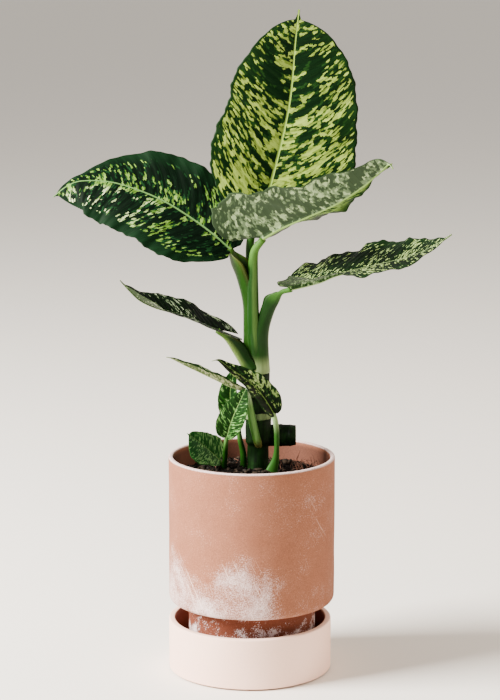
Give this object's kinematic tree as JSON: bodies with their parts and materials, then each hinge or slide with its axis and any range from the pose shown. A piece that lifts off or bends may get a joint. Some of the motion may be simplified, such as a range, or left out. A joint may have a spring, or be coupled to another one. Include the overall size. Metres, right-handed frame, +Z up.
{
  "type": "potted dieffenbachia",
  "caption": "Young dieffenbachia with broad speckled leaves on a short green cane, in a straight-sided terracotta pot standing on its foot in a shallow saucer.",
  "frame": {"origin": "on the pot's axis, at the underside of the saucer, where the object stands", "axes": "+Z up; -Y is the front, towards the viewer of the picture; +X is to the right as seen from the front"},
  "size_m": [0.349, 0.222, 0.5952],
  "materials": {
    "saucer_terracotta": "matte",
    "terracotta": "matte",
    "potting_soil": "matte",
    "green_cane": "satin",
    "leaf_stalk": "satin",
    "leaf_blade": "satin"
  },
  "bodies": {
    "root": {"saucer": "saucer_terracotta", "pot": "terracotta", "soil": "potting_soil", "cane": "green_cane", "upright_stalk": "leaf_stalk", "upright_blade": "leaf_blade", "front_stalk": "leaf_stalk", "front_blade": "leaf_blade", "left_stalk": "leaf_stalk", "left_blade": "leaf_blade", "right_stalk": "leaf_stalk", "right_blade": "leaf_blade", "low_left_stalk": "leaf_stalk", "low_left_blade": "leaf_blade", "folded_stalk": "leaf_stalk", "folded_blade": "leaf_blade", "hooked_stalk": "leaf_stalk", "hooked_blade": "leaf_blade", "small_stalk": "leaf_stalk", "small_blade": "leaf_blade", "rim_stalk": "leaf_stalk", "rim_blade": "leaf_blade", "back_stalk": "leaf_stalk", "back_blade": "leaf_blade"}
  },
  "joints": []
}
